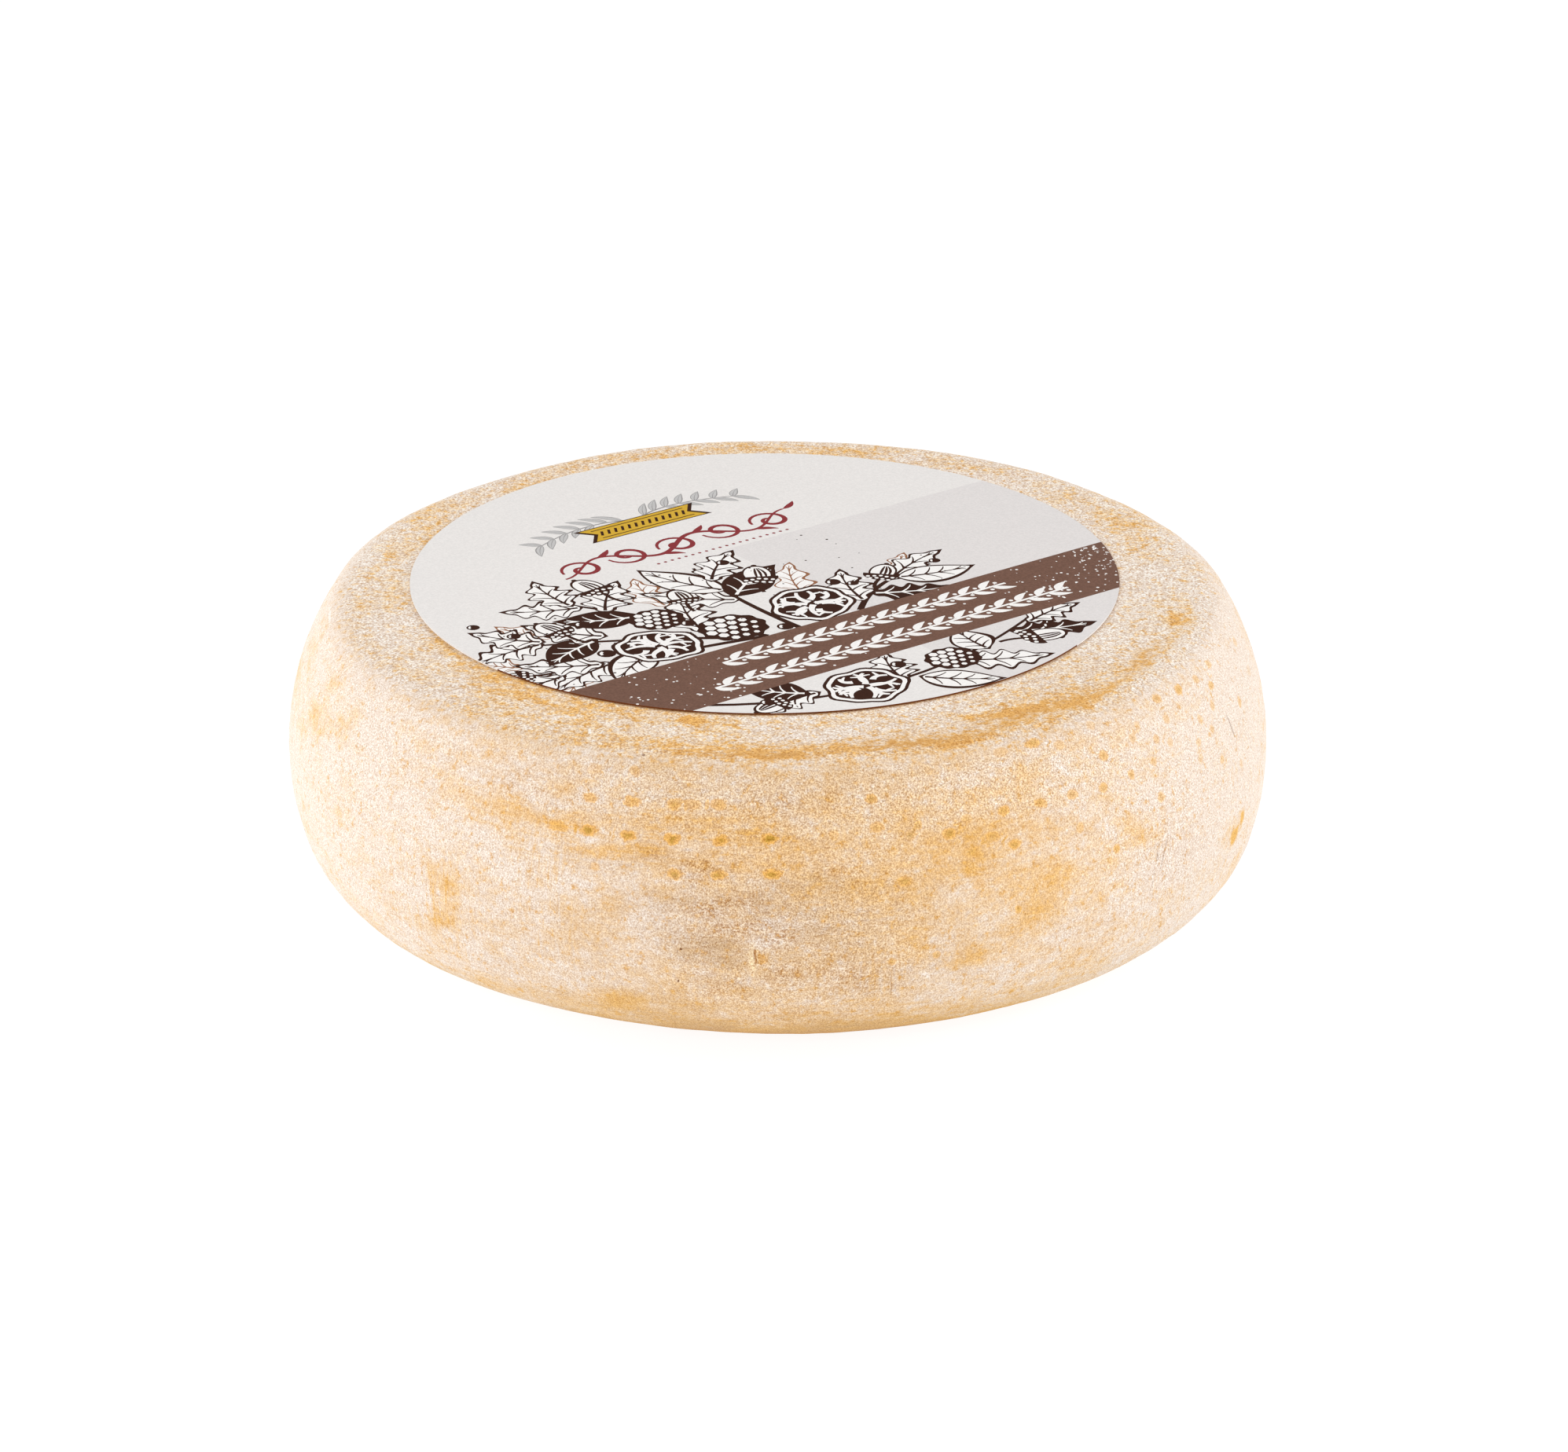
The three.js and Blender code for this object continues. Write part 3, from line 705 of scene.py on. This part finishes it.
def whole_truffle(centre, size):
    """Prints a whole truffle: a ball of warts, pale in the light and dark in the shade."""
    around = np.linspace(0, 2 * math.pi, 61)[:-1]
    rim = (1 + 0.04 * np.cos(11 * around + 1)) * (np.cos(around) + 0.92j * np.sin(around))
    stamp("brown_line", centre + size / 2 * rim)
    wart = size / 5.6
    corners = np.exp(1j * np.linspace(0.3, 0.3 + 2 * math.pi, 7)[:-1])
    for row in range(-3, 4):
        for column in range(-3, 4):
            spot = wart * (column + 0.5 * (row % 2) + 0.87j * row)
            if abs(spot) < size * 0.41:
                light = 0.40 - 0.30 * (spot.real - spot.imag) / size
                stamp("white_ink", centre + spot + wart * min(light, 0.47) * corners)


def acorn(root, heading, size):
    """Prints an acorn on its stalk: a scaled cup and a pale nut with lines of shade."""
    way = np.exp(1j * math.radians(heading))
    around = np.linspace(0, 2 * math.pi, 33)[:-1]
    nut = 0.38 * size * np.cos(around) + 0.25j * size * np.sin(around)
    line("brown_line", root + way * curve(0, 0.2 * size + 0.06j * size, 0.42 * size, 6), np.full(7, 0.9))
    stamp("brown_line", root + way * (0.80 * size + nut))
    stamp("white_ink", root + way * (0.80 * size + nut * (1 - 1.7 / size)))
    for lift in (-0.12, -0.05, 0.02):
        start, bend, end = 0.62 + 1j * lift, 0.85 + 1.5j * lift, 1.06 + 0.4j * lift
        streak = root + way * size * curve(start, bend, end, 6)
        line("brown_line", streak, 0.2 + 0.4 * np.sin(np.linspace(0.2, 3.0, 7)))
    stamp("brown_line", root + way * (1.18 * size + 0.05 * size * np.exp(1j * around[::4])))
    cup_turn = np.linspace(math.radians(84), math.radians(276), 17)
    cup = 0.27 * size * np.cos(cup_turn) + 0.33j * size * np.sin(cup_turn)
    stamp("brown_line", root + way * (0.66 * size + cup))
    for row in range(2):
        for k in range(-2, 3):
            scale = 0.60 * size - 0.03 * abs(k) * size - 0.12 * row * size + 0.11j * (k + 0.5 * row) * size
            stamp("white_ink", root + way * (scale + 0.038 * size * np.exp(1j * around[::4])))


def berry(centre, size):
    """Prints a small dark berry with a crescent of light."""
    around = np.linspace(0, 2 * math.pi, 17)[:-1]
    stamp("brown_line", centre + size / 2 * np.exp(1j * around))
    glint = np.linspace(math.radians(100), math.radians(190), 6)
    stamp("white_ink", np.concatenate([
        centre + size * 0.36 * np.exp(1j * glint), centre + size * 0.20 * np.exp(1j * glint[::-1])]))


# Fields of colour: a grey field that the brown band crosses.
edge_reach = label_radius + 5
for low, high in ((1j * band_far, 1j * field_far), (-1j * edge_reach, 1j * band_near)):
    stamp("pale_grey", np.array([2 + low, edge_reach + low, edge_reach + high, 2 + high]))

# Boughs of oak that rise from the band, each leaf placed by its root and tip: thin sepia ones
# behind, then the bold ones, with truffles and acorns among them.
for stem in (
    curve(-20 - 28j, -44 - 22j, -74 - 20j, 16), curve(-22 - 28j, -42 - 12j, -68 - 1j, 16),
    curve(-20 - 28j, -36 + 0j, -46 + 15j, 16), curve(-12 - 28j, -14 - 4j, -10 + 12j, 16),
    curve(4 - 28j, 16 - 16j, 32 - 16j, 16),
):
    line("brown_line", stem, np.linspace(1.5, 0.7, len(stem)))
for root, tip, breadth in (
    (-62 - 20j, -72 - 30j, 7), (-70 - 12j, -77 - 3j, 7), (-56 - 2j, -62 + 9j, 7), (-27 - 2j, -24 + 14j, 8),
    (0 - 14j, 8 + 2j, 8), (24 - 17j, 31 - 8j, 6),
):
    leaf(root, tip, breadth, ink="sepia_line", pen=0.4, lobes=3)
for bold_leaf in (  # root, tip, breadth, 1 if it is filled with ink, lobes
    (-54 - 21j, -71 - 26j, 9, 0, 4), (-66 - 20.5j, -80 - 20j, 8, 0, 3), (-56 - 20j, -70 - 11j, 9, 0, 4),
    (-44 - 21j, -58 - 29j, 8, 0, 0), (-60 - 4j, -76 - 5j, 9, 0, 4), (-59 - 3j, -68 + 9j, 9, 0, 4),
    (-50 - 9j, -64 - 14j, 8, 1, 0), (-47 - 8j, -57 + 6j, 10, 0, 4), (-42 + 8j, -56 + 15j, 9, 0, 4),
    (-43 + 10j, -42 + 25j, 9, 0, 4), (-39 + 3j, -28 + 15j, 10, 0, 4), (-36 - 3j, -50 + 4j, 8, 1, 0),
    (-29 - 18j, -22 + 0j, 10, 0, 4), (-13 - 8j, -27 + 6j, 9, 0, 4), (-12 - 2j, -20 + 17j, 9, 0, 0),
    (-11 + 4j, 2 + 15j, 9, 0, 4), (-12 - 6j, 4 + 3j, 9, 1, 0), (8 - 24j, 14 - 8j, 9, 0, 4),
    (20 - 18j, 38 - 11j, 8, 0, 4), (22 - 18j, 38 - 22j, 8, 0, 0), (12 - 22j, 28 - 29j, 8, 1, 4),
):
    bough_leaf(*bold_leaf)
cut_truffle(-41 - 19j, 19, 1)
cut_truffle(-2 - 19j, 20, 4)
whole_truffle(-23 - 20j, 15)
whole_truffle(-33 - 7j, 12)
for root, heading, size in (
    (-52 - 8j, 100, 12), (-33 + 6j, 95, 13), (-66 - 18j, 165, 11), (-6 - 8j, 62, 13), (14 - 20j, 42, 12),
    (-24 - 8j, 75, 11),
):
    acorn(root, heading, size)
for centre, size in (
    (-52 - 16j, 4.0), (-29 - 12.5j, 3.4), (-47 + 0j, 3.6), (9 - 12j, 3.4), (12 - 15j, 2.6),
    (-14 - 26j, 3.6), (-66 + 12j, 2.8), (-62 + 3j, 3.0), (-3 + 11j, 3.0), (34 - 15j, 2.6),
):
    berry(centre, size)

# A second bough under the band.
low_stem = curve(-54 - 48j, -20 - 76j, 34 - 50j, 20)
line("brown_line", low_stem, np.linspace(1.2, 0.7, 21))
for bold_leaf in (
    (-30 - 58j, -46 - 60j, 8, 0, 4), (-32 - 57j, -40 - 48j, 8, 1, 0), (-12 - 63j, -7 - 50j, 9, 0, 4),
    (-8 - 64j, 4 - 74j, 8, 0, 0), (4 - 62j, 20 - 70j, 9, 0, 4), (12 - 60j, 13 - 49j, 8, 0, 0),
    (22 - 56j, 38 - 62j, 9, 1, 4), (28 - 54j, 42 - 52j, 7, 0, 4),
):
    bough_leaf(*bold_leaf)
cut_truffle(-20 - 61j, 19, 7)
whole_truffle(3 - 60j, 12)
acorn(16 - 59j, -14, 13)
acorn(-33 - 57j, 188, 11)
for centre, size in ((-8 - 56j, 3.4), (-41 - 56j, 3.0), (30 - 58j, 2.8)):
    berry(centre, size)

# Flecks of ink around the boughs.
draw = np.random.default_rng(11)
spatter = np.exp(1j * np.linspace(0, 2 * math.pi, 7)[:-1])
for along, up, size in zip(
        draw.uniform(-70, 34, 80), draw.uniform(-27, 14, 80), draw.uniform(0.14, 0.36, 80)):
    stamp("brown_line", along + 1j * up + size * spatter)

band = 1j * np.array([band_near, band_near, band_far, band_far])
stamp("brown_band", band + edge_reach * np.array([-1, 1, 1, -1]))

# Two slim twigs of bay in white along the band, with leaves in turn on either side, and the flecks
# where the brown ink is rubbed off, most of them at the band's ends.
bud = 0.5 * np.exp(1j * np.linspace(0, 2 * math.pi, 9)[:-1])
for left_end, right_end, up in ((-36.0, 38.0, -34.2), (-45.0, 47.0, -44.0)):
    twig = 1j * up + np.arange(left_end, right_end, 0.9)
    line("white_ink", twig, np.full(len(twig), 0.7))
    for at in range(0, len(twig) - 3, 3):
        flank = 1 if at % 2 else -1
        blade = curve(twig[at], twig[at] + 1.0 + 2.0j * flank, twig[at] + 4.3 + 2.9j * flank, 8)
        line("white_ink", blade, 0.2 + 1.6 * np.sin(math.pi * np.linspace(0, 1, 9) ** 0.9))
        stamp("white_ink", twig[at + 2] - 1.3j * flank + bud)
for start, spread, count in ((64.0, 5.0, 170), (50.0, 8.0, 60), (-48.0, 9.0, 70), (0.0, 40.0, 40)):
    for along, up, size in zip(
            draw.normal(start, spread, count), draw.uniform(band_near + 0.5, band_far - 0.5, count),
            draw.uniform(0.10, 0.36, count)):
        stamp("white_ink", along + 1j * up + size * spatter)

# The emblem: a yellow ribbon with dark stitches, under grey sprays and over a red scroll.
emblem = -2.8 + 40.6j
for flank in (-1, 1):
    spray = emblem + curve(flank * 2 + 3.4j, flank * 12 + 8j, flank * 27 + 1j, 20)
    line("mid_grey", spray, np.linspace(0.6, 0.3, 21))
    for i in range(7):
        root = spray[1 + 3 * i]
        for lift in (5.6, -2.6):
            if i > 1 or lift > 0:
                tip = root + flank * (4.0 - 0.1 * i) + 1j * (lift - 0.40 * i)
                leaf(root, tip, 1.5, ink="mid_grey", fill="soft_grey", pen=0.16, veins=0, sway=0.12 * flank)
ribbon = np.array([-15 - 3.6j, 15 - 3.6j, 12.2 + 0j, 15 + 3.6j, -15 + 3.6j, -12.2 + 0j])
stamp("brown_line", emblem + ribbon * 1.06)
stamp("ochre_yellow", emblem + ribbon * 0.97)
for edge in (-1, 1):
    line("brown_line", emblem + np.linspace(-12.2, 12.2, 5) + 2.3j * edge, np.full(5, 0.34))
for k in range(-6, 7):
    line("brown_line", emblem + 1.8 * k + np.linspace(-0.6 - 1.1j, 0.6 + 1.1j, 3), np.full(3, 0.62))
scroll = emblem - 1.5 - 14.5j
stem_along = np.linspace(-31, 31, 81)
stem_width = 0.6 + 0.6 * np.cos(math.pi * stem_along / 66) ** 2
line("wine_red", scroll + stem_along + 3.2j * np.sin(math.pi * stem_along / 12.4), stem_width)
turns = np.linspace(0, 1, 31)
for k in range(-2, 3):
    flank = -1 if k % 2 else 1
    curl = (4.9 - 4.0 * turns) * np.exp(1j * flank * (math.pi - 2 * math.pi * 1.35 * turns))
    line("wine_red", scroll + 12.4 * k - 0.7j * flank + curl, 0.6 + 0.6 * np.sin(math.pi * turns))
    root = scroll + 12.4 * k + 6.2 + 3.2j * flank
    petal = curve(root, root + 2.4 + 0.2j * flank, root + 4.6 + 2.6j * flank, 8)
    line("wine_red", petal, 0.2 + 1.3 * np.sin(math.pi * np.linspace(0, 1, 9)))
for k in range(20):
    stamp("wine_red", scroll - 10 + 1.8 * k - 7.5j + 0.42 * spatter)

disc = label_radius * np.exp(1j * 2 * math.pi * np.arange(label_sides) / label_sides)
jobs = [("paper", disc)] + print_jobs
corners, loops = [], []
for ink, outline in jobs:
    loops.append(list(range(len(corners), len(corners) + len(outline))))
    corners += [Vector((p.real, p.imag)) for p in outline]
flat_points, _, flat_faces, _, _, owners = delaunay_2d_cdt(corners, [], loops, 1, 1e-5)

# Inks and paper. Offset inks dry matt on the coated stock, whose fibres show as a faint mottle
# and keep a slight satin.
ink_colours = {
    "paper": "#EEEAE7",
    "white_ink": "#FCF9F6",
    "pale_grey": "#E6E1DF",
    "brown_band": "#775749",
    "brown_line": "#3A1C0E",
    "sepia_line": "#9A6A4C",
    "soft_grey": "#C9C7C6",
    "mid_grey": "#9C9998",
    "ochre_yellow": "#D9AE38",
    "wine_red": "#8E3438",
    "stained_and_shaded_edge": "#74401F",
}
label_mesh = bpy.data.meshes.new("label_print")
label = bpy.data.objects.new("printed_paper_label", label_mesh)
bpy.context.scene.collection.objects.link(label)
ink_order = list(ink_colours)
for ink in ink_order:
    ink_material, tree = new_material("coated_paper_" + ink)
    place = add(tree, "TexCoord", output="Object")
    fibre = add(tree, "TexNoise", {"Vector": place, "Scale": 1 / (0.45 * MM), "Detail": 2.0})
    tooth = add(tree, "Bump", {"Height": fibre, "Strength": 0.12, "Distance": 0.05 * MM})
    mottle = 0.16 if ink in ("brown_band", "brown_line") else 0.05
    lightness = add(tree, "MapRange", {
        "Value": fibre, "From Min": 0.3, "From Max": 0.7, "To Min": 1 - mottle, "To Max": 1 + mottle})
    printed = add(tree, "Mix", {
        0: 1.0, 6: linear(ink_colours[ink]), 7: lightness}, data_type="RGBA", blend_type="MULTIPLY")
    coat = add(tree, "BsdfPrincipled", {
        "Base Color": printed, "Roughness": 0.6, "IOR": 1.5, "Specular IOR Level": 0.06, "Normal": tooth})
    add(tree, "OutputMaterial", {"Surface": coat})
    label_mesh.materials.append(ink_material)

shape = bmesh.new()
shift = Vector((label_centre.x, label_centre.y, label_high.z))
verts = [shape.verts.new(Vector((p.x * MM, p.y * MM, 0)) + shift) for p in flat_points]
for corner_numbers, owner in zip(flat_faces, owners):
    if 0 not in owner:
        continue
    face = shape.faces.new([verts[i] for i in corner_numbers])
    face.material_index = ink_order.index(jobs[max(owner)][0])
bmesh.ops.delete(shape, geom=[v for v in shape.verts if not v.link_faces], context="VERTS")
edge_of_disc = [e for e in shape.edges if e.is_boundary]
skirt = bmesh.ops.extrude_edge_only(shape, edges=edge_of_disc)["geom"]
for v in (g for g in skirt if isinstance(g, bmesh.types.BMVert)):
    v.co.z = label_low.z
# The front of the label's cut edge is dark brown, partly a stain soaked into the paper and partly painted
# shade of the gap under it.
for face in (g for g in skirt if isinstance(g, bmesh.types.BMFace)):
    out_of_middle = face.calc_center_median() - label_centre
    in_front = math.degrees(math.atan2(out_of_middle.x, -out_of_middle.y))
    face.material_index = ink_order.index("stained_and_shaded_edge" if -46 < in_front < 58 else "paper")
below = [e for e in shape.edges if e.is_boundary]
bmesh.ops.contextual_create(shape, geom=below)
bmesh.ops.recalc_face_normals(shape, faces=shape.faces)
shape.to_mesh(label_mesh)
shape.free()
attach(label, "root")
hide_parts("paper_label")

# The floor, a wide sheet of opal acrylic lit softly from below, as on a product table.
floor_mesh = bpy.data.meshes.new("opal_table")
floor_reach = 6.0
floor_mesh.from_pydata(
    [(-floor_reach, -floor_reach, 0), (floor_reach, -floor_reach, 0),
     (floor_reach, floor_reach, 0), (-floor_reach, floor_reach, 0)], [], [(0, 1, 2, 3)])
floor = bpy.data.objects.new("floor", floor_mesh)
bpy.context.scene.collection.objects.link(floor)
table, tree = new_material("opal_acrylic_table")
sheet = add(tree, "BsdfPrincipled", {
    "Base Color": linear("#6E6E6E"), "Roughness": 1.0, "Specular IOR Level": 0.0,
    "Emission Color": (1, 1, 1, 1), "Emission Strength": 0.90})
add(tree, "OutputMaterial", {"Surface": sheet})
floor_mesh.materials.append(table)

# Light: a white sky as from a light tent, a softbox low on each side and a little behind the
# middle, which lift the flanks of the wheel, and a soft key from the upper left of the camera.
sky = bpy.data.worlds.new("light_tent")
sky.use_nodes = True
sky.node_tree.nodes["Background"].inputs["Color"].default_value = (1, 1, 1, 1)
sky.node_tree.nodes["Background"].inputs["Strength"].default_value = 0.56
bpy.context.scene.world = sky
lit_place = Vector((0, 0, 0.03))
for name, spot, watts, size in (
    ("softbox_left", (-0.94, 0.34, 0.25), 5.8, 0.6),
    ("softbox_right", (0.99, 0.10, 0.25), 7.3, 0.6),
    ("key_upper_left", (-0.45, -1.22, 0.80), 8.2, 0.6),
):
    lamp = bpy.data.lights.new(name, "AREA")
    lamp.shape = "SQUARE"
    lamp.size = size
    lamp.energy = watts
    lamp_object = bpy.data.objects.new(name, lamp)
    lamp_object.location = spot
    lamp_object.rotation_euler = (lit_place - Vector(spot)).to_track_quat("-Z", "Y").to_euler()
    bpy.context.scene.collection.objects.link(lamp_object)
bpy.context.scene.view_settings.view_transform = "Standard"

# The camera: a long lens about five wheel widths away, looking down at 23 degrees.
look_down = math.radians(23.14)
camera_distance = 1.040
image_width = 1995
focal_pixels = 6208
right_pixels, up_pixels = 7.8, -7.6  # how far the frame is shifted to centre the wheel as shown
aim = Vector((0, 0, wheel_height / 2 * MM))
lens = bpy.data.cameras.new("camera")
lens.sensor_width = 36
lens.lens = focal_pixels / image_width * lens.sensor_width
lens.shift_x = right_pixels / image_width
lens.shift_y = up_pixels / image_width
camera = bpy.data.objects.new("camera", lens)
back = Vector((0, -math.cos(look_down), math.sin(look_down)))
camera.location = aim + back * camera_distance
camera.rotation_euler = (-back).to_track_quat("-Z", "Y").to_euler()
bpy.context.scene.collection.objects.link(camera)
bpy.context.scene.camera = camera
